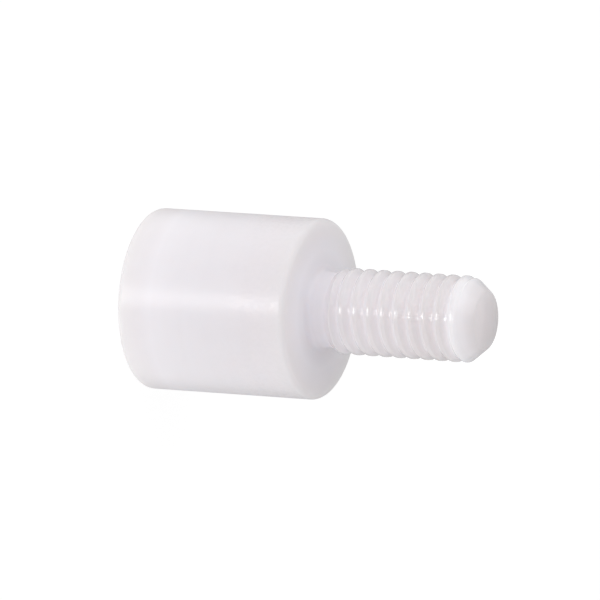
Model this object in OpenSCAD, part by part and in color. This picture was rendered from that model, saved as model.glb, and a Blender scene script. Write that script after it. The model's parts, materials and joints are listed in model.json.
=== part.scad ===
// Round male-female standoff for an M3 thread, turned in one piece from white nylon.
// It stands on its open end with the stud up: the axis is Z, and Z = 0 is the open end.
// The thread itself is too fine to cut here. The stud is solid out to the crests of its
// thread, and the hole is the bore that its thread is tapped in.

/* [Body] */
// Diameter of the round body
body_d = 6; // [5:0.1:10]
// Length of the body, from the open end to the shoulder
body_l = 6.1; // [5.8:0.1:30]
// Radius of the rounded edge of the open end
base_edge_r = 0.2; // [0.1:0.02:0.4]
// Radius of the rounded edge of the shoulder
shoulder_edge_r = 0.2; // [0.1:0.02:0.4]

/* [Thread] */
// Nominal diameter of the thread, the same on the stud and in the hole
thread_d = 3; // [2.5:0.1:3.5]
// Distance from one turn of the thread to the next
thread_pitch = 0.5; // [0.35:0.05:0.7]
// How far the stud's crests fall short of the nominal diameter
crest_allowance = 0.14; // [0:0.02:0.2]

/* [Stud] */
// Length of the stud, from the shoulder to the top of its crown
stud_l = 6.1; // [3:0.1:20]
// Length of the plain neck at the foot of the stud, with its fillet
neck_l = 0.6; // [0.5:0.1:1.2]
// Depth of the neck below the crests of the thread
neck_depth = 0.18; // [0.06:0.02:0.34]
// Gap between the crests and the flat of the shoulder, where the neck's fillet ends
seat_clearance = 0.05; // [0.02:0.01:0.1]
// Length of the taper from the neck out to the crests
neck_taper_l = 0.3; // [0.1:0.05:0.6]
// Length of the pointed end, from the last full crest to the top of the crown
tip_l = 0.72; // [0.6:0.02:0.9]
// Angle between the axis and the side of the pointed end
tip_angle = 39; // [30:1:45]
// Radius of the dome that crowns the tip
crown_r = 3.1; // [2.8:0.1:10]
// Radius of the rounded edge between the pointed end and the crown
crown_edge_r = 0.2; // [0.05:0.05:0.3]

/* [Hole] */
// Depth of the hole at its full diameter
hole_l = 4.6; // [2:0.1:4.8]
// Angle of the drill's point at the bottom of the hole
drill_angle = 118; // [90:2:140]
// How much wider than the thread the mouth of the hole opens
mouth_clearance = 0.3; // [0.1:0.05:0.6]
// Angle of the countersink at the mouth of the hole
mouth_angle = 90; // [60:5:120]

/* [Hidden] */
$fn = 96;
nylon_white = [0.91, 0.90, 0.91];
arc_steps = 6;    // straight pieces in each arc of an outline
overcut = 0.5;    // how far a cutter stands clear of the face that it opens

// Radii and heights of the body and the stud
body_r = body_d / 2;
crest_r = (thread_d - crest_allowance) / 2;
neck_r = crest_r - neck_depth;
neck_fillet_r = neck_depth + seat_clearance;
neck_top = body_l + neck_l;
thread_bottom = neck_top + neck_taper_l;
stud_top = body_l + stud_l;
thread_top = stud_top - tip_l;

// Centres of the arcs that round the two edges of the body
base_centre = [body_r - base_edge_r, base_edge_r];
shoulder_centre = [body_r - shoulder_edge_r, body_l - shoulder_edge_r];

// Centre of the fillet's arc, between the shoulder and the neck
fillet_centre = [neck_r + neck_fillet_r, body_l + neck_fillet_r];

// The crown's dome is centred on the axis. Its rounded edge is an arc that touches both
// the dome and the cone of the pointed end. edge_angle is the direction in which the
// centre of that arc lies from the centre of the dome.
dome_z = stud_top - crown_r;
edge_orbit_r = crown_r - crown_edge_r;
cone_offset = crest_r * cos(tip_angle) + (thread_top - dome_z) * sin(tip_angle);
edge_angle = tip_angle + acos((cone_offset - crown_edge_r) / edge_orbit_r);
edge_centre = [0, dome_z] + edge_orbit_r * [cos(edge_angle), sin(edge_angle)];

// Radii and depths of the hole: the usual tapping size is the thread less one pitch
bore_r = (thread_d - thread_pitch) / 2;
mouth_r = (thread_d + mouth_clearance) / 2;
mouth_depth = (mouth_r - bore_r) / tan(mouth_angle / 2);
drill_point_l = bore_r / tan(drill_angle / 2);

// The point at an angle on a circle
function on_circle(centre, radius, angle) = centre + radius * [cos(angle), sin(angle)];

// The points of an arc from one angle to another, without the first of them
function arc_after(centre, radius, from, to) =
    [for (i = [1:arc_steps])
        on_circle(centre, radius, from + (to - from) * i / arc_steps)];

// Half outline of the body, from the middle of the open end out and up to the shoulder
function body_outline() = concat(
    [[0, 0], on_circle(base_centre, base_edge_r, 270)],
    arc_after(base_centre, base_edge_r, 270, 360),
    [on_circle(shoulder_centre, shoulder_edge_r, 0)],
    arc_after(shoulder_centre, shoulder_edge_r, 0, 90)
);

// Half outline of the stud, from its fillet up to the top of the crown
function stud_outline() = concat(
    [on_circle(fillet_centre, neck_fillet_r, 270)],
    arc_after(fillet_centre, neck_fillet_r, 270, 180),
    [
        [neck_r, neck_top],
        [crest_r, thread_bottom],
        [crest_r, thread_top],
        on_circle(edge_centre, crown_edge_r, tip_angle)
    ],
    arc_after(edge_centre, crown_edge_r, tip_angle, edge_angle),
    arc_after([0, dome_z], crown_r, edge_angle, 90)
);

// What the drill, the tap's bore and the countersink take out of the open end
module hole() {
    rotate_extrude()
        polygon([
            [0, -overcut],
            [mouth_r + overcut * tan(mouth_angle / 2), -overcut],
            [bore_r, mouth_depth],
            [bore_r, hole_l],
            [0, hole_l + drill_point_l]
        ]);
}

module standoff() {
    color(nylon_white)
        difference() {
            rotate_extrude()
                polygon(concat(body_outline(), stud_outline()));
            hole();
        }
}

standoff();
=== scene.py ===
"""Dresses the male-female standoff: a turned white nylon pillar with a threaded stud and a tapped hole.

The whole standoff is one closed skin. Its outline (radius against height) is traced from the top of the
stud, down the outside, across the open end and up the hole, and is then swept round the axis while the two
screw threads are cut into it. Everything is in metres, upright on the floor, in the frame of the solids.
"""

import json
import logging
import math
from dataclasses import dataclass, field
from enum import Enum
from typing import Any, Optional, Union

import bpy
import numpy as np
from mathutils import Matrix, Vector

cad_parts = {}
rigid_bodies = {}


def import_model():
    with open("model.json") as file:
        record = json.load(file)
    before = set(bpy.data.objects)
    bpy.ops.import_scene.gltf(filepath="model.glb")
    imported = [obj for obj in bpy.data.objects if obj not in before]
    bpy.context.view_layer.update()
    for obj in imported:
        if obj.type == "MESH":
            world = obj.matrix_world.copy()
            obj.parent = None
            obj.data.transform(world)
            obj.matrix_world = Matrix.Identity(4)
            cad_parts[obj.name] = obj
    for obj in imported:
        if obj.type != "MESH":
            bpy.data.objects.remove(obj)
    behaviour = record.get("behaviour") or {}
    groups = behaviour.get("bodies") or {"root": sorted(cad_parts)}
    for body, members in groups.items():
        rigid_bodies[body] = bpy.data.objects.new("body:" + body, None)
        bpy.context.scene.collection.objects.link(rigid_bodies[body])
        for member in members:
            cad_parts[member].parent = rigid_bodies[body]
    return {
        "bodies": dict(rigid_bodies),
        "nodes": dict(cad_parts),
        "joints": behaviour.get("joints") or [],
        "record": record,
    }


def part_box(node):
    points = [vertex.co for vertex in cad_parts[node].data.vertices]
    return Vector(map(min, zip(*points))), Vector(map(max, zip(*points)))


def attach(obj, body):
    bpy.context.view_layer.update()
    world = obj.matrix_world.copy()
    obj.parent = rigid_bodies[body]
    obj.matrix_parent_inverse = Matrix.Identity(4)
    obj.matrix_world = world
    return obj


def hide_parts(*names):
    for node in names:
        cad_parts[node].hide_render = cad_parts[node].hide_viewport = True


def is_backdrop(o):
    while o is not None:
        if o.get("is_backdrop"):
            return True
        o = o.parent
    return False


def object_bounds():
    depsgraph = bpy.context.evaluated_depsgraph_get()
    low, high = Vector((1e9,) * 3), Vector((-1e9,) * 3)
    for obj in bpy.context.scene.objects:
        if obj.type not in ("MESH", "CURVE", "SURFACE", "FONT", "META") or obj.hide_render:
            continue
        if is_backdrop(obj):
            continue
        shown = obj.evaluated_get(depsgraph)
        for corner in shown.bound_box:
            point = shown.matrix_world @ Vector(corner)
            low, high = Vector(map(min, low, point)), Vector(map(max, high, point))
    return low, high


LOG = logging.getLogger("standoff")
MM = 0.001
TURN = 2.0 * math.pi
NODE = "standoff"
BODY = "root"
HAIR = 1e-9
THREAD_PITCH = 0.5 * MM

Number = Union[int, float]
Colour = tuple[float, float, float]

WHITE: Colour = (1.0, 1.0, 1.0)
# The places of the Mix node's factor and its two colours among its inputs, and of the mixed colour.
MIX_COLOUR_INPUTS = (0, 6, 7)
MIX_COLOUR_OUTPUT = 2


class Hand(Enum):
    """Which way a screw thread climbs, as the sign of its turn."""

    RIGHT = 1.0
    LEFT = -1.0


class Side(Enum):
    """Whether a thread is cut into a rod or into a hole, as the sign that its cut adds to the radius."""

    OUTSIDE = -1.0
    INSIDE = 1.0


# ----------------------------------------------------------------------------------------------------------
# Shapes as arrays
# ----------------------------------------------------------------------------------------------------------


def ease_positive(value: np.ndarray, softness: float) -> np.ndarray:
    """The positive part of a value, with its corner at zero rounded by a parabola.

    Below -softness it is 0, above +softness it is the value, and between them it is
    (value + softness) squared over four times the softness.

    Args:
        value: any array.
        softness: half the width of the rounded corner, in the value's own unit.

    Returns:
        An array of the same shape, never negative.
    """
    curve = (value + softness) ** 2 / (4.0 * softness)
    return np.where(value < -softness, 0.0, np.where(value > softness, value, curve))


def ease_step(value: np.ndarray) -> np.ndarray:
    """A smooth step from 0 to 1: three times the square of the value less twice its cube, held at the ends.

    Args:
        value: any array; the step runs from 0 to 1.

    Returns:
        An array of the same shape.
    """
    held = np.clip(value, 0.0, 1.0)
    return held * held * (3.0 - 2.0 * held)


@dataclass(frozen=True)
class Corner:
    """One corner of an outline: its radius and height, how much painted shade darkens the colour there from
    0 to 1, how much it is rounded, and how fine the rows after it are.
    """

    r: float
    z: float
    tone: float = 0.0
    rounding: float = 0.0
    step: float = 0.0


@dataclass
class Outline:
    """A half section of a turned part, as corners joined by straights and rounded by arcs.

    The guard is how close to a straight's end its first row stands, and a straight shorter than
    least_guards of them has no rows of its own.
    """

    corners: list[Corner]
    arc_rows: int = 9
    guard: float = 0.015 * MM
    least_guards: float = 4.0

    def arc_at(self, index: int) -> np.ndarray:
        """The points of the arc that rounds one corner.

        The arc touches both straights at rounding x tan(half the turn) from the corner, and its points lie
        at even angles about the centre where the two offset straights meet.

        Args:
            index: the corner's place in the list.

        Returns:
            An array of points (radius, height), one row each; a single point where nothing is rounded.
        """
        corner = self.corners[index]
        here = np.array([corner.r, corner.z])
        ends = index in (0, len(self.corners) - 1)
        if ends or corner.rounding <= 0.0:
            return here[None, :]
        before, after = self.corners[index - 1], self.corners[index + 1]
        into = here - np.array([before.r, before.z])
        out = np.array([after.r, after.z]) - here
        into /= np.linalg.norm(into)
        out /= np.linalg.norm(out)
        cross = into[0] * out[1] - into[1] * out[0]
        turn = math.atan2(cross, float(into @ out))
        reach = corner.rounding * math.tan(abs(turn) / 2.0)
        side = math.copysign(1.0, turn)
        normal = side * np.array([-into[1], into[0]])
        centre = here - into * reach + normal * corner.rounding
        angle = np.linspace(0.0, turn, self.arc_rows)
        spoke = -normal * corner.rounding
        cos, sin = np.cos(angle), np.sin(angle)
        points = np.stack([spoke[0] * cos - spoke[1] * sin, spoke[0] * sin + spoke[1] * cos], axis=1)
        return centre + points

    def straight(self, start: np.ndarray, end: np.ndarray, step: float) -> np.ndarray:
        """The rows inside a straight, with one close to each end so that its shading stays flat.

        Args:
            start: where the straight begins.
            end: where it ends.
            step: the greatest gap between rows, or 0 for no rows but the two guards.

        Returns:
            An array of points (radius, height) strictly between the ends, which may be empty.
        """
        length = float(np.linalg.norm(end - start))
        if length < self.least_guards * self.guard:
            return np.zeros((0, 2))
        count = max(1, math.ceil(length / step)) if step > 0.0 else 1
        along = np.linspace(0.0, length, count + 1)[1:-1]
        along = np.concatenate([[self.guard], along, [length - self.guard]])
        return start + (end - start) * (along / length)[:, None]

    def trace(self) -> tuple[np.ndarray, np.ndarray, np.ndarray]:
        """Follows the outline from its first corner to its last.

        A row's painted shade lies between those of the corners before and after it, by its distance along
        the outline.

        Returns:
            The radius, the height and the painted shade of each row.
        """
        rows: list[np.ndarray] = []
        middles: list[int] = []
        arcs = [self.arc_at(index) for index in range(len(self.corners))]
        for index, arc in enumerate(arcs):
            middles.append(sum(len(row) for row in rows) + len(arc) // 2)
            rows.append(arc)
            if index + 1 < len(arcs):
                rows.append(self.straight(arc[-1], arcs[index + 1][0], self.corners[index].step))
        points = np.concatenate(rows)
        steps = np.linalg.norm(np.diff(points, axis=0), axis=1)
        along = np.concatenate([[0.0], np.cumsum(steps)])
        tone = np.interp(along, along[middles], [corner.tone for corner in self.corners])
        return points[:, 0], points[:, 1], tone


@dataclass(frozen=True)
class Thread:
    """A screw thread of rounded vee form, cut into a rod or a hole.

    It starts at the height begin and stops at end, and each fade is the length over which its depth grows
    or dies away. The land is the crest's flat as a share of the pitch, and the flank angle is in degrees
    from square to the axis. The depth wanders by a share of itself in two waves round the axis: the first
    turns by wave_climb radians over a pitch, and the second is second_wave times as strong. The lean makes
    the cut shallower on the +X side and deeper on the -X side. The blend rounds where the cut begins.
    """

    radius: float
    pitch: float
    depth: float
    side: Side
    begin: float
    begin_fade: float
    end: float
    end_fade: float
    phase: float = 0.0
    land: float = 0.1
    flank_angle: float = 30.0
    crest_softness: float = 0.35
    root_softness: float = 0.3
    hand: Hand = Hand.RIGHT
    wander: float = 0.0
    wave_climb: float = 2.3
    second_wave: float = 0.6
    lean: float = 0.0
    blend: float = 0.012 * MM

    @property
    def run(self) -> float:
        """The height that one flank takes."""
        return self.depth * math.tan(math.radians(self.flank_angle))

    def groove(self, z: np.ndarray, angle: np.ndarray) -> np.ndarray:
        """How deep the cut is across one pitch, from 0 on the crest to 1 in the root.

        The place across the pitch is the height, less the pitch times the part of a turn gone round. Its
        distance from the middle of the crest, less half the flat land, over the flank's run, is the depth;
        the two corners of that ramp are rounded by parabolas.

        Args:
            z: heights.
            angle: angles round the axis, which broadcast against the heights.

        Returns:
            The depth of the cut as a share of the full depth.
        """
        climb = self.hand.value * angle / TURN
        across = (z - self.phase) / self.pitch - climb
        from_crest = self.pitch * np.abs(np.mod(across + 0.5, 1.0) - 0.5)
        ramp = (from_crest - self.pitch * self.land / 2.0) / self.run
        return ease_positive(ramp, self.crest_softness) - ease_positive(ramp - 1.0, self.root_softness)

    def strength(self, z: np.ndarray) -> np.ndarray:
        """The share of the full depth at each height: it fades in past one end and out before the other.

        Args:
            z: heights.

        Returns:
            A share from 0 to 1 for each height.
        """
        rising = ease_step((z - self.begin) / self.begin_fade)
        falling = ease_step((self.end - z) / self.end_fade)
        return rising * falling

    def carve(self, r: np.ndarray, z: np.ndarray, angle: np.ndarray) -> tuple[np.ndarray, ...]:
        """Cuts the thread into radii.

        A rod keeps the lesser of the blank's radius and the thread's, and a hole the greater. The mark of a
        flank that faces down is the depth's slope against height times the flank's run, held from 0 to 1.

        Args:
            r: the blank's radius at each row and angle.
            z: the height of each row.
            angle: the angle of each column.

        Returns:
            The cut radius, how deep the cut is there as a share of the full depth, and a mark from 0 to 1
            on the flanks that face down.
        """
        share = self.groove(z, angle) * self.strength(z)
        turns = z / self.pitch
        waves = np.sin(angle + self.wave_climb * turns) + self.second_wave * np.sin(2.0 * angle - turns)
        drift = self.wander * waves - self.lean * np.cos(angle)
        limit = self.radius + self.side.value * self.depth * share * (1.0 + drift)
        spare = self.side.value * (limit - r)
        inside = (share > 0.0).astype(float)
        cut = ease_positive(spare, self.blend) * inside
        slope = np.gradient(share, axis=0) / np.gradient(z, axis=0)
        lee = np.clip(self.side.value * slope * self.run, 0.0, 1.0)
        return r + self.side.value * cut, np.clip(cut / self.depth, 0.0, 1.0), lee


def swept_skin(
    name: str, radius: np.ndarray, height: np.ndarray, marks: dict[str, np.ndarray]
) -> bpy.types.Object:
    """Makes a closed mesh from a grid of radii, one row to each height and one column to each angle.

    A point of the grid stands at radius x (cosine, sine) of its column's angle, at its row's height. The
    first and last rows each close to a single point on the axis. Faces look away from the material.

    Args:
        name: the piece's name.
        radius: radii, rows by columns; the first and last rows are 0.
        height: one height to each row, falling from the first row outside.
        marks: numbers to keep on the points, each rows by columns, by name.

    Returns:
        The new object, linked to the scene at the origin.
    """
    rows, columns = radius.shape
    angle = np.arange(columns) * (TURN / columns)
    inner = slice(1, rows - 1)
    x = (radius * np.cos(angle))[inner].ravel()
    y = (radius * np.sin(angle))[inner].ravel()
    z = np.repeat(height[inner], columns)
    ring = np.stack([x, y, z], axis=1)
    poles = np.array([[0.0, 0.0, height[0]], [0.0, 0.0, height[-1]]])
    points = np.concatenate([poles, ring])

    at = 2 + np.arange((rows - 2) * columns).reshape(rows - 2, columns)
    upper, lower = at[:-1], at[1:]
    quads = np.stack([upper, lower, np.roll(lower, -1, axis=1), np.roll(upper, -1, axis=1)], axis=-1)
    quads = quads.reshape(-1, 4)
    first, last = at[0], at[-1]
    cap_top = np.stack([np.zeros(columns, int), first, np.roll(first, -1)], axis=-1)
    cap_end = np.stack([np.ones(columns, int), np.roll(last, -1), last], axis=-1)
    triangles = np.concatenate([cap_top, cap_end])

    mesh = bpy.data.meshes.new(name)
    mesh.vertices.add(len(points))
    mesh.vertices.foreach_set("co", points.astype(np.float32).ravel())
    corners = np.concatenate([quads.ravel(), triangles.ravel()])
    mesh.loops.add(len(corners))
    mesh.loops.foreach_set("vertex_index", corners.astype(np.int32))
    starts = np.concatenate([np.arange(len(quads)) * 4, len(quads) * 4 + np.arange(len(triangles)) * 3])
    mesh.polygons.add(len(starts))
    mesh.polygons.foreach_set("loop_start", starts.astype(np.int32))
    mesh.polygons.foreach_set("use_smooth", np.ones(len(starts), bool))
    for label, values in marks.items():
        layer = mesh.attributes.new(label, "FLOAT", "POINT")
        ends = np.array([values[0].mean(), values[-1].mean()])
        layer.data.foreach_set("value", np.concatenate([ends, values[inner].ravel()]).astype(np.float32))
    mesh.update(calc_edges=True)
    mesh.validate()
    piece = bpy.data.objects.new(name, mesh)
    bpy.context.scene.collection.objects.link(piece)
    return piece


# ----------------------------------------------------------------------------------------------------------
# Shader maths
# ----------------------------------------------------------------------------------------------------------


class Value:
    """A number that a shader node gives, which takes part in Python sums."""

    def __init__(self, graph: "Graph", socket: bpy.types.NodeSocket) -> None:
        """Keeps the graph and the socket that the number comes out of."""
        self.graph = graph
        self.socket = socket

    def __add__(self, other: "Operand") -> "Value":
        """This plus another."""
        return self.graph.math("ADD", self, other)

    def __sub__(self, other: "Operand") -> "Value":
        """This less another."""
        return self.graph.math("SUBTRACT", self, other)

    def __mul__(self, other: "Operand") -> "Value":
        """This times another."""
        return self.graph.math("MULTIPLY", self, other)

    def __radd__(self, other: "Operand") -> "Value":
        """Another plus this."""
        return self.graph.math("ADD", other, self)

    def __rsub__(self, other: "Operand") -> "Value":
        """Another less this."""
        return self.graph.math("SUBTRACT", other, self)

    def __rmul__(self, other: "Operand") -> "Value":
        """Another times this."""
        return self.graph.math("MULTIPLY", other, self)


Operand = Union[Value, Number]


@dataclass(frozen=True)
class Pattern:
    """Smooth noise: bumps to the metre along each axis, how many finer layers, and how strong they are."""

    stretch: tuple[float, float, float]
    detail: float
    finer: float = 0.5


class Graph:
    """The nodes of one material or world, with a few short ways to add to them."""

    def __init__(self, owner: Union[bpy.types.Material, bpy.types.World]) -> None:
        """Empties the owner's node tree and keeps it.

        Args:
            owner: the material or world.
        """
        owner.use_nodes = True
        self.tree = owner.node_tree
        self.tree.nodes.clear()

    def node(self, kind: str, settings: Optional[dict[str, Any]] = None, **inputs: Any) -> bpy.types.Node:
        """Adds a node of any type.

        Args:
            kind: the node's type, without the words ShaderNode in front.
            settings: what is set on the node itself, before its sockets.
            **inputs: the sockets by name with _ for a space, or by place as s0, s1 and so on; each a
                number, a colour, a vector, a Value or a socket.

        Returns:
            The node.
        """
        made = self.tree.nodes.new("ShaderNode" + kind)
        for key, setting in (settings or {}).items():
            setattr(made, key, setting)
        for key, given in inputs.items():
            place = int(key[1:]) if key[0] == "s" and key[1:].isdigit() else key.replace("_", " ")
            self.feed(made.inputs[place], given)
        return made

    def feed(self, socket: bpy.types.NodeSocket, given: Any) -> None:
        """Sets a socket's constant, or links what feeds it.

        Args:
            socket: the input.
            given: a Value, an output socket, or a constant.
        """
        if isinstance(given, Value):
            self.tree.links.new(given.socket, socket)
        elif isinstance(given, bpy.types.NodeSocket):
            self.tree.links.new(given, socket)
        elif isinstance(given, tuple) and len(given) == 3 and socket.type == "RGBA":
            socket.default_value = (*given, 1.0)
        else:
            socket.default_value = given

    def math(self, operation: str, *operands: Operand, clamp: bool = False) -> Value:
        """One Math node.

        Args:
            operation: the node's operation.
            *operands: its numbers, in order.
            clamp: whether the answer is held between 0 and 1.

        Returns:
            The answer.
        """
        made = self.node("Math", {"operation": operation, "use_clamp": clamp})
        for socket, given in zip(made.inputs, operands):
            self.feed(socket, given)
        return Value(self, made.outputs[0])

    def smooth(self, value: Operand, low: float, high: float) -> Value:
        """A smooth step of a number, from 0 at low to 1 at high.

        Args:
            value: the number.
            low: where the step starts; it may be above high, and the step then falls.
            high: where it ends.

        Returns:
            The stepped number.
        """
        settings = {"interpolation_type": "SMOOTHSTEP"}
        made = self.node("MapRange", settings, Value=value, From_Min=low, From_Max=high)
        return Value(self, made.outputs[0])

    def tint(self, factor: Operand, first: Any, second: Any) -> bpy.types.NodeSocket:
        """A mix of two colours.

        Args:
            factor: how much of the second.
            first: a colour or a socket.
            second: a colour or a socket.

        Returns:
            The mixed colour's socket.
        """
        made = self.node("Mix", {"data_type": "RGBA", "blend_type": "MIX"})
        for place, given in zip(MIX_COLOUR_INPUTS, (factor, first, second)):
            self.feed(made.inputs[place], given)
        return made.outputs[MIX_COLOUR_OUTPUT]

    def place(self, stretch: tuple[float, float, float]) -> bpy.types.NodeSocket:
        """The object's own coordinates, stretched along each axis to set a pattern's grain.

        Args:
            stretch: the factor along x, y and z.

        Returns:
            The vector's socket.
        """
        where = self.node("TexCoord").outputs["Object"]
        made = self.node("Mapping", None, Vector=where, Scale=stretch)
        return made.outputs[0]

    def noise(self, pattern: Pattern) -> Value:
        """Smooth noise over the object, from 0 to 1 about a half.

        Args:
            pattern: the noise's grain and layers.

        Returns:
            The noise.
        """
        where = self.place(pattern.stretch)
        layers = {"Detail": pattern.detail, "Roughness": pattern.finer}
        made = self.node("TexNoise", None, Vector=where, Scale=1.0, **layers)
        return Value(self, made.outputs[0])

    def height(self) -> Value:
        """The height above the object's origin."""
        return Value(self, self.node("SeparateXYZ", None, Vector=self.place((1.0, 1.0, 1.0))).outputs["Z"])

    def mark(self, name: str) -> Value:
        """A number kept on the mesh's points, by name."""
        return Value(self, self.node("Attribute", {"attribute_name": name}).outputs["Fac"])


# ----------------------------------------------------------------------------------------------------------
# Finishes
# ----------------------------------------------------------------------------------------------------------


@dataclass(frozen=True)
class NylonFinish:
    """Natural white nylon, turned: cloudy, a little see-through, satin, with fine rings from the tool.

    The thread is smoother than the rest, and the upper part of the body carries small glossy specks. The
    colour runs from pale to a painted shade colour by the painted shade kept on the mesh, which stands in
    for shade. It is also painted paler in the thread's grooves and on the flanks that face down: painted
    light that evens out the shade of the turns.
    """

    pale: Colour = (0.911, 0.876, 0.930)
    painted_shade_colour: Colour = (0.660, 0.622, 0.631)
    groove_painted_light: float = 0.20
    lee_painted_light: float = 0.30
    ior: float = 1.53
    gloss: float = 0.4
    scatter: float = 1.0
    scatter_depth: float = 3.0 * MM
    scatter_balance: Colour = (1.0, 0.92, 0.88)
    cloud: Pattern = Pattern((420.0, 420.0, 260.0), 3.0, 0.55)
    cloud_tint: float = 0.12
    cloud_roughness: float = 0.03
    bands: Pattern = Pattern((90.0, 90.0, 2600.0), 1.0)
    band_tint: float = 0.08
    band_roughness: float = 0.03
    roughness: float = 0.32
    thread_roughness: float = 0.12
    smooth_above: tuple[float, float] = (0.62 * MM, 0.72 * MM)
    rings: Pattern = Pattern((260.0, 260.0, 1.0 / (0.16 * MM)), 0.0)
    ring_height: float = 0.0002 * MM
    grain: Pattern = Pattern((1.0 / (0.14 * MM),) * 3, 1.0)
    grain_height: float = 0.0080 * MM
    grain_rise: tuple[float, float] = (0.4, 0.9)
    grain_fall: tuple[float, float] = (1.0, 0.97)
    speck_range: tuple[float, float] = (0.46, 0.64)
    speck_weight: float = 0.21
    speck_roughness: float = 0.12

    def build(self, shoulder: float) -> bpy.types.Material:
        """Makes the material.

        Args:
            shoulder: the height of the shoulder. The grain and its specks rise and fall over shares of it,
                and the skin turns smooth a little above it.

        Returns:
            The material.
        """
        made = bpy.data.materials.new("natural_nylon")
        graph = Graph(made)
        cloud = graph.noise(self.cloud)
        height = graph.height()
        grainy = graph.smooth(height, *(shoulder * share for share in self.grain_rise))
        grainy = grainy * graph.smooth(height, *(shoulder * share for share in self.grain_fall))
        on_stud = graph.smooth(height, *(shoulder + above for above in self.smooth_above))
        rings = graph.noise(self.rings)
        bands = graph.noise(self.bands)
        grain = graph.noise(self.grain)
        # Painted light: the grooves and the flanks that face down are made paler to even out the shade in
        # the turns.
        painted_light = self.groove_painted_light * graph.mark("groove") + self.lee_painted_light * graph.mark("lee")

        mottle = self.cloud_tint * (cloud - 0.5) + self.band_tint * (bands - 0.5)
        # The mesh's painted shade darkens the colour towards the painted shade colour; the mottle is the
        # nylon's own uneven colour.
        colour = graph.tint(graph.mark("tone") - painted_light + mottle, self.pale, self.painted_shade_colour)
        uneven = self.band_roughness * (bands - 0.5) + self.cloud_roughness * (cloud - 0.5)
        rough = self.roughness + uneven - (self.roughness - self.thread_roughness) * on_stud
        specks = graph.smooth(grain, *self.speck_range) * grainy
        lift = self.ring_height * rings + self.grain_height * grain * grainy
        bump = graph.node("Bump", None, Strength=1.0, Distance=1.0, Height=lift)

        skin = graph.node(
            "BsdfPrincipled",
            {"subsurface_method": "RANDOM_WALK"},
            Base_Color=colour,
            Roughness=rough,
            Coat_Weight=self.speck_weight * specks,
            Coat_Roughness=self.speck_roughness,
            IOR=self.ior,
            Specular_IOR_Level=self.gloss,
            Normal=bump.outputs[0],
            Subsurface_Weight=self.scatter,
            Subsurface_Radius=self.scatter_balance,
            Subsurface_Scale=self.scatter_depth,
        )
        graph.node("OutputMaterial", None, Surface=skin.outputs[0])
        return made


@dataclass(frozen=True)
class FloorFinish:
    """A white table that shows the standoff's soft shadow, and is clear from underneath."""

    white: Colour = (0.9, 0.9, 0.9)
    glow: float = 1.13
    shadow_share: float = 0.22
    grain: Pattern = Pattern((90.0, 90.0, 90.0), 2.0)
    grain_tint: float = 0.06

    def build(self) -> bpy.types.Material:
        """Makes the material: part glow, part lit white to a camera above it, clear to other rays.

        Returns:
            The material.
        """
        made = bpy.data.materials.new("table_white")
        graph = Graph(made)
        path = graph.node("LightPath")
        below = Value(graph, graph.node("NewGeometry").outputs["Backfacing"])
        seen = Value(graph, path.outputs["Is Camera Ray"]) * (1.0 - below)
        glow = graph.node("Emission", None, Color=WHITE, Strength=self.glow)
        white = graph.tint(self.grain_tint * graph.noise(self.grain), self.white, WHITE)
        lit = graph.node("BsdfDiffuse", None, Color=white)
        table = graph.node("MixShader", None, s0=self.shadow_share, s1=glow.outputs[0], s2=lit.outputs[0])
        clear = graph.node("BsdfTransparent")
        both = graph.node("MixShader", None, s0=seen, s1=clear.outputs[0], s2=table.outputs[0])
        graph.node("OutputMaterial", None, Surface=both.outputs[0])
        return made


# ----------------------------------------------------------------------------------------------------------
# The standoff
# ----------------------------------------------------------------------------------------------------------


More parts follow.
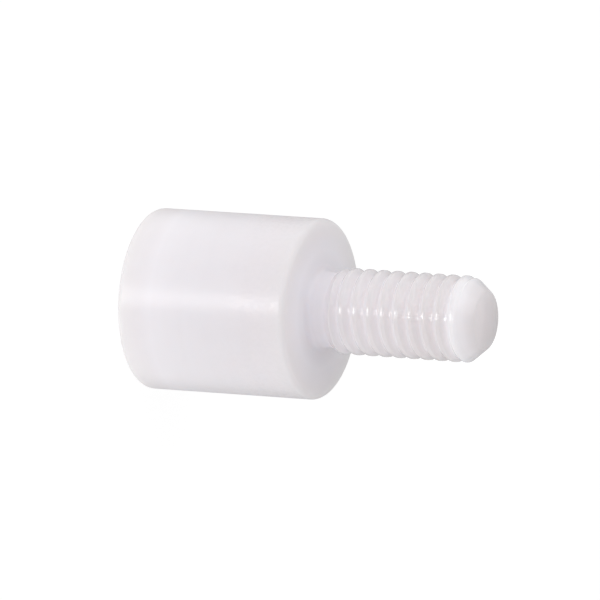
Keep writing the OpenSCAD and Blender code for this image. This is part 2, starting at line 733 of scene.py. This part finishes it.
@dataclass
class Stud:
    """The threaded stud: a relief neck with a filleted foot, the thread, and a coned and crowned tip.

    Each edge or fillet is the radius that rounds a corner, and each painted shade says how far the colour is
    darkened there to stand in for shade.
    The thread runs in from run_in above the neck, and runs out run_out below the top.
    """

    foot: float
    top: float
    radius: float
    neck_depth: float = 0.18 * MM
    neck_length: float = 0.6 * MM
    neck_fillet: float = 0.23 * MM
    neck_edge: float = 0.35 * MM
    neck_taper: float = 0.3 * MM
    taper_edge: float = 0.06 * MM
    tip_length: float = 0.72 * MM
    tip_angle: float = math.radians(39.0)
    tip_edge: float = 0.12 * MM
    crown_radius: float = 3.1 * MM
    crown_edge: float = 0.2 * MM
    crown_rows: int = 12
    # Painted shade of each part, from 0 to 1: the colour is darkened most on the turns and the crown.
    crown_painted_shade: float = 0.75
    tip_painted_shade: float = 0.26
    turns_painted_shade: float = 0.93
    taper_painted_shade: float = 0.68
    neck_painted_shade: float = 0.24
    foot_painted_shade: float = 0.12
    pitch: float = THREAD_PITCH
    thread_depth: float = 0.13 * MM
    thread_phase: float = 0.025 * MM
    run_in: float = 0.1 * MM
    run_out: float = 0.3 * MM
    rows_per_turn: int = 20
    neck_step: float = 0.04 * MM
    foot_step: float = 0.2 * MM
    foot_guard: float = 0.02 * MM

    @property
    def row_step(self) -> float:
        """The gap between rows along the thread."""
        return self.pitch / self.rows_per_turn

    def crown(self) -> np.ndarray:
        """The domed end: a wide arc from the axis, then the small arc that turns into the tip's cone.

        The wide arc is centred on the axis one crown radius below the top. The small arc touches it from
        inside and touches the cone, so its centre lies on a circle of the difference of the two radii.

        Returns:
            The two arcs' points (radius, height), from the axis outwards.
        """
        base = self.top - self.tip_length
        dome = self.top - self.crown_radius
        orbit = self.crown_radius - self.crown_edge
        offset = self.radius * math.cos(self.tip_angle) + (base - dome) * math.sin(self.tip_angle)
        turn = self.tip_angle + math.acos((offset - self.crown_edge) / orbit)
        centre = np.array([orbit * math.cos(turn), dome + orbit * math.sin(turn)])
        wide = np.linspace(TURN / 4.0, turn, self.crown_rows)
        small = np.linspace(turn, self.tip_angle, self.crown_rows)[1:]
        wide_points = np.stack([np.cos(wide), np.sin(wide)], axis=1) * self.crown_radius
        wide_points += np.array([0.0, dome])
        wide_points[0, 0] = 0.0
        small_points = centre + np.stack([np.cos(small), np.sin(small)], axis=1) * self.crown_edge
        return np.concatenate([wide_points, small_points])

    def corners(self) -> list[Corner]:
        """The corners below the crown: the cone, the threaded length, the taper, the neck and its foot.

        Returns:
            The corners, falling from the tip to the shoulder.
        """
        tip = self.top - self.tip_length
        neck_top = self.foot + self.neck_length
        neck_radius = self.radius - self.neck_depth
        return [
            Corner(self.radius, tip, self.tip_painted_shade, self.tip_edge, self.row_step),
            Corner(self.radius, tip - self.pitch, self.turns_painted_shade, 0.0, self.row_step),
            Corner(self.radius, neck_top + self.neck_taper, self.taper_painted_shade, self.taper_edge, self.row_step),
            Corner(neck_radius, neck_top, self.neck_painted_shade, self.neck_edge, self.neck_step),
            Corner(neck_radius, self.foot, self.foot_painted_shade, self.neck_fillet, self.foot_step),
        ]

    def thread(self) -> Thread:
        """The right-hand thread, which runs in over the taper and fades out on the tip's cone."""
        return Thread(
            radius=self.radius,
            pitch=self.pitch,
            depth=self.thread_depth,
            side=Side.OUTSIDE,
            begin=self.foot + self.neck_length + self.run_in,
            begin_fade=0.35 * MM,
            end=self.top - self.run_out,
            end_fade=0.75 * MM,
            phase=self.thread_phase,
            land=0.28,
            flank_angle=44.0,
            crest_softness=0.16,
            root_softness=0.16,
            wander=0.05,
            lean=0.22,
        )


@dataclass
class TappedHole:
    """The blind tapped hole in the open end: a countersunk mouth, the bore and the drill's point.

    The thread starts run_in below the mouth and runs out run_out short of the bore's end. Little of it is
    ever seen, so its rows are coarser than the stud's.
    """

    radius: float
    depth: float = 4.6 * MM
    mouth_clearance: float = 0.15 * MM
    drill_angle: float = math.radians(118.0)
    rod_clearance: float = 0.07 * MM
    mouth_edge: float = 0.04 * MM
    end_edge: float = 0.08 * MM
    # Painted shade, the same over the whole hole.
    tone: float = 0.38
    pitch: float = THREAD_PITCH
    thread_depth: float = 0.27 * MM
    run_in: float = 0.4 * MM
    run_out: float = 0.15 * MM
    rows_per_turn: int = 12
    mouth_step: float = 0.06 * MM
    point_step: float = 0.12 * MM

    def corners(self, rod_radius: float) -> list[Corner]:
        """The corners from the mouth up to the drill's point.

        Args:
            rod_radius: the radius of the rod that screws in.

        Returns:
            The corners; the last is on the axis.
        """
        mouth = rod_radius + self.rod_clearance + self.mouth_clearance
        point = self.radius / math.tan(self.drill_angle / 2.0)
        row_step = self.pitch / self.rows_per_turn
        return [
            Corner(mouth, 0.0, self.tone, self.mouth_edge, self.mouth_step),
            Corner(self.radius, mouth - self.radius, self.tone, self.mouth_edge, row_step),
            Corner(self.radius, self.depth, self.tone, self.end_edge, self.point_step),
            Corner(0.0, self.depth + point, self.tone),
        ]

    def thread(self) -> Thread:
        """The right-hand thread, cut outwards from the bore and fading out where the tap stopped."""
        return Thread(
            radius=self.radius,
            pitch=self.pitch,
            depth=self.thread_depth,
            side=Side.INSIDE,
            begin=-self.run_in,
            begin_fade=0.3 * MM,
            end=self.depth - self.run_out,
            end_fade=0.9 * MM,
            land=0.22,
            wander=0.02,
        )


@dataclass
class Barrel:
    """The round body between the open end and the shoulder, with a rounded edge at each end.

    The painted shade, which darkens the colour to stand in for shade, changes at places across the
    shoulder's face, each given as a share of the radius and a painted shade, and at places along the side,
    each given as a share of the length and a painted shade.
    """

    radius: float
    length: float
    base_edge: float = 0.2 * MM
    shoulder_edge: float = 0.2 * MM
    # Painted shade: the colour is darkened towards the shoulder's rim and the open end's edge.
    face_painted_shades: tuple[tuple[float, float], ...] = ((0.66, 0.08), (0.90, 0.54))
    shoulder_painted_shade: float = 0.67
    side_painted_shades: tuple[tuple[float, float], ...] = ((0.6, 0.43), (0.2, 0.30))
    base_painted_shade: float = 0.82
    row_step: float = 0.25 * MM

    def corners(self) -> list[Corner]:
        """The corners from the shoulder's rim down to the open end's face.

        Returns:
            The corners; the two at the ends are rounded by their edges.
        """
        step = self.row_step
        return [
            *(Corner(share * self.radius, self.length, tone, 0.0, step) for share, tone in self.face_painted_shades),
            Corner(self.radius, self.length, self.shoulder_painted_shade, self.shoulder_edge, step),
            *(Corner(self.radius, share * self.length, tone, 0.0, step) for share, tone in self.side_painted_shades),
            Corner(self.radius, 0.0, self.base_painted_shade, self.base_edge, step),
        ]


@dataclass
class Standoff:
    """The whole standoff, one piece of nylon: barrel, stud and tapped hole on one closed skin."""

    barrel: Barrel
    stud: Stud
    hole: TappedHole
    finish: NylonFinish = field(default_factory=NylonFinish)
    columns: int = 192

    @classmethod
    def from_frame(cls, frame: dict[str, Any]) -> "Standoff":
        """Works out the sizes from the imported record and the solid's box.


        Returns:
            The standoff, ready to build.
        """
        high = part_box(NODE)[1]
        mounts = {mount["name"]: mount for mount in frame["record"]["mounts"]}
        shoulder = mounts["shoulder"]["pos_m"][2]
        stud_radius = mounts["stud"]["dims"]["r_mm"] * MM
        bore = mounts["threaded_hole"]["dims"]["r_mm"] * MM
        barrel = Barrel(radius=high.x, length=shoulder)
        stud = Stud(foot=shoulder, top=high.z, radius=stud_radius)
        return cls(barrel=barrel, stud=stud, hole=TappedHole(radius=bore))

    def surface(self) -> tuple[np.ndarray, np.ndarray, dict[str, np.ndarray]]:
        """The skin as a grid: the outline's radius at each row, less or plus the threads' cut at each angle.

        The rows after the first that reaches the open end's face count as the hole's, and the stud's thread
        is cut into the rows above its foot.

        Returns:
            Radii by row and column, a height for each row, and the marks for the finish, among them the
            painted shade that darkens its colour.
        """
        stud = self.stud
        crown = stud.crown()
        start = Corner(float(crown[-1, 0]), float(crown[-1, 1]), stud.crown_painted_shade, 0.0, stud.row_step)
        chain = [start, *stud.corners(), *self.barrel.corners(), *self.hole.corners(stud.radius)]
        r, z, tone = Outline(chain).trace()
        r = np.concatenate([crown[:-1, 0], r])
        z = np.concatenate([crown[:-1, 1], z])
        tone = np.concatenate([np.full(len(crown) - 1, stud.crown_painted_shade), tone])
        angle = np.arange(self.columns) * (TURN / self.columns)
        radius = np.repeat(r[:, None], self.columns, axis=1)
        groove = np.zeros_like(radius)
        lee = np.zeros_like(radius)
        outside = r > self.hole.radius + HAIR
        on_stud = z > stud.foot + stud.foot_guard
        in_hole = np.arange(len(z)) > int(np.argmin(np.where(outside, z, np.inf)))
        for rows, thread in ((on_stud & ~in_hole, stud.thread()), (in_hole, self.hole.thread())):
            cut, share, sheltered = thread.carve(radius[rows], z[rows][:, None], angle[None, :])
            radius[rows] = cut
            groove[rows] = share
            lee[rows] = sheltered
        radius[0] = 0.0
        radius[-1] = 0.0
        # Painted shade at each row, the same all round.
        painted_shades = np.repeat(tone[:, None], self.columns, axis=1)
        return radius, z, {"groove": groove, "lee": lee, "tone": painted_shades}

    def build(self) -> bpy.types.Object:
        """Makes the piece, gives it its finish and ties it to the frame.

        Returns:
            The piece.
        """
        radius, height, marks = self.surface()
        piece = swept_skin("standoff_nylon", radius, height, marks)
        piece.data.materials.append(self.finish.build(self.barrel.length))
        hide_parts(NODE)
        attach(piece, BODY)
        return piece


# ----------------------------------------------------------------------------------------------------------
# The studio
# ----------------------------------------------------------------------------------------------------------


def heading(azimuth: float, elevation: float) -> Vector:
    """The unit vector out from the standoff: azimuth 0 is the -Y side and 90 the +X side, in degrees.

    Args:
        azimuth: the angle round the standoff.
        elevation: the angle above the table.

    Returns:
        (sine of azimuth x cosine of elevation, minus cosine x cosine, sine of elevation).
    """
    around, up = math.radians(azimuth), math.radians(elevation)
    flat = math.cos(up)
    return Vector((math.sin(around) * flat, -math.cos(around) * flat, math.sin(up)))


@dataclass(frozen=True)
class SoftBox:
    """A soft lamp aimed at the standoff: its heading in degrees, its size in metres and its brightness."""

    name: str
    azimuth: float
    elevation: float
    width: float
    height: float
    brightness: float
    distance: float = 0.25

    def build(self, target: Vector) -> bpy.types.Object:
        """Makes the lamp. Its power is its brightness x pi x its area, so its size doesn't change its look.

        Args:
            target: the point it faces.

        Returns:
            The lamp.
        """
        away = heading(self.azimuth, self.elevation)
        light = bpy.data.lights.new(self.name, "AREA")
        light.shape = "RECTANGLE"
        light.size = self.width
        light.size_y = self.height
        light.energy = self.brightness * math.pi * self.width * self.height
        lamp = bpy.data.objects.new(self.name, light)
        lamp.location = target + away * self.distance
        lamp.rotation_euler = (-away).to_track_quat("-Z", "Y").to_euler()
        lamp.visible_camera = False
        bpy.context.scene.collection.objects.link(lamp)
        return lamp


@dataclass(frozen=True)
class Flag:
    """A dim card, hidden from the camera, which draws a white part's edges on white.

    It is given by its heading in degrees, its size in metres and how brightly it glows.
    """

    name: str
    azimuth: float
    elevation: float
    width: float
    height: float
    glow: float
    distance: float = 0.25

    def build(self, target: Vector) -> bpy.types.Object:
        """Makes the card as one flat sheet square to the line from the standoff.

        Args:
            target: the point it faces.

        Returns:
            The card, marked as not part of the object.
        """
        away = heading(self.azimuth, self.elevation)
        across = Vector((0.0, 0.0, 1.0)).cross(away).normalized() * (self.width / 2.0)
        upward = away.cross(across).normalized() * (self.height / 2.0)
        middle = target + away * self.distance
        signs = ((-1.0, -1.0), (1.0, -1.0), (1.0, 1.0), (-1.0, 1.0))
        mesh = bpy.data.meshes.new(self.name)
        mesh.from_pydata([middle + across * a + upward * b for a, b in signs], [], [(0, 1, 2, 3)])
        made = bpy.data.materials.new(self.name)
        graph = Graph(made)
        glow = graph.node("Emission", None, Color=WHITE, Strength=self.glow)
        graph.node("OutputMaterial", None, Surface=glow.outputs[0])
        mesh.materials.append(made)
        card = bpy.data.objects.new(self.name, mesh)
        card.visible_camera = False
        bpy.context.scene.collection.objects.link(card)
        card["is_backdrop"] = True
        return card


@dataclass(frozen=True)
class Viewpoint:
    """The camera: far off, looking down at the standoff, rolled so that the stud points to the right.

    The middle of the view lies to the right of the standoff's origin by across, and above it by above.
    """

    elevation: float = math.radians(24.98)
    roll: float = math.radians(3.85)
    distance: float = 417.0 * MM
    view_width: float = 19.914 * MM
    across: float = 4.786 * MM
    above: float = -0.066 * MM
    sensor: float = 36.0
    clip: tuple[float, float] = (0.01, 10.0)

    def build(self) -> bpy.types.Object:
        """Makes the camera. Its right lies near the standoff's axis, and its up near the -X side.

        Returns:
            The camera, set as the scene's.
        """
        sin, cos = math.sin(self.elevation), math.cos(self.elevation)
        back = Vector((0.0, -cos, sin))
        axis = Vector((0.0, sin, cos))
        side = back.cross(axis)
        right = axis * math.cos(self.roll) + side * math.sin(self.roll)
        up = side * math.cos(self.roll) - axis * math.sin(self.roll)
        data = bpy.data.cameras.new("viewpoint")
        data.sensor_width = self.sensor
        data.lens = self.sensor * self.distance / self.view_width
        data.clip_start, data.clip_end = self.clip
        camera = bpy.data.objects.new("viewpoint", data)
        camera.matrix_world = Matrix((right, up, back)).transposed().to_4x4()
        camera.location = right * self.across + up * self.above + back * self.distance
        bpy.context.scene.collection.objects.link(camera)
        bpy.context.scene.camera = camera
        return camera


@dataclass
class Studio:
    """White table, even light all round, a few soft lamps and two dim cards."""

    level: float = 0.66
    floor_drop: float = 0.01 * MM
    floor_half: float = 1.5
    lamps: tuple[SoftBox, ...] = (
        SoftBox("front_strip", -1.0, -25.0, 0.072, 0.030, 11.8),
        SoftBox("front_spot", -1.0, 18.0, 0.05, 0.03, 8.0),
        SoftBox("near_side", -85.0, 5.0, 0.30, 0.40, 0.37),
        SoftBox("far_side", 80.0, -10.0, 0.30, 0.30, 0.43),
        SoftBox("low_fill", 0.0, -70.0, 0.30, 0.30, 0.59),
        SoftBox("upper_left", -60.0, 55.0, 0.20, 0.20, 0.96),
    )
    flags: tuple[Flag, ...] = (
        Flag("edge_flag", 180.0, -5.0, 0.5, 0.5, 0.48),
        Flag("top_flag", 20.0, 80.0, 0.4, 0.4, 0.46),
    )

    def floor(self) -> bpy.types.Object:
        """Makes the table top, a hair under the standoff's open end.

        Returns:
            The table top, marked as not part of the object.
        """
        half, drop = self.floor_half, -self.floor_drop
        mesh = bpy.data.meshes.new("table_top")
        corners = [(-half, -half, drop), (half, -half, drop), (half, half, drop), (-half, half, drop)]
        mesh.from_pydata(corners, [], [(0, 1, 2, 3)])
        mesh.materials.append(FloorFinish().build())
        table = bpy.data.objects.new("table_top", mesh)
        bpy.context.scene.collection.objects.link(table)
        table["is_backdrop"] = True
        return table

    def surroundings(self) -> bpy.types.World:
        """Makes the world: an even grey light, which the camera, gloss and clear things see as white.

        Returns:
            The world, set as the scene's.
        """
        world = bpy.data.worlds.new("even_light")
        bpy.context.scene.world = world
        graph = Graph(world)
        path = graph.node("LightPath").outputs
        seen = Value(graph, path["Is Camera Ray"]) + Value(graph, path["Is Glossy Ray"])
        seen = graph.math("ADD", seen, Value(graph, path["Is Transmission Ray"]), clamp=True)
        strength = self.level + (1.0 - self.level) * seen
        sky = graph.node("Background", None, Color=WHITE, Strength=strength)
        graph.node("OutputWorld", None, Surface=sky.outputs[0])
        return world

    def build(self, target: Vector) -> None:
        """Makes the table, the world, the lamps, the cards and the camera, and sets the picture's colours.

        Args:
            target: the middle of the standoff, which the lamps face.
        """
        self.floor()
        self.surroundings()
        for maker in (*self.lamps, *self.flags):
            maker.build(target)
        Viewpoint().build()
        bpy.context.scene.view_settings.view_transform = "Standard"


# ----------------------------------------------------------------------------------------------------------
# The order of work
# ----------------------------------------------------------------------------------------------------------


def main() -> None:
    """Loads the frame, builds the standoff and its studio, and reports each piece."""
    logging.basicConfig(level=logging.INFO, format="%(name)s: %(message)s")
    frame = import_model()
    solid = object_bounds()
    piece = Standoff.from_frame(frame).build()
    triangles = sum(len(face.vertices) - 2 for face in piece.data.polygons)
    LOG.info("%s: %d points, %d triangles", piece.name, len(piece.data.vertices), triangles)
    Studio().build((solid[0] + solid[1]) / 2.0)


if __name__ == "__main__":
    main()
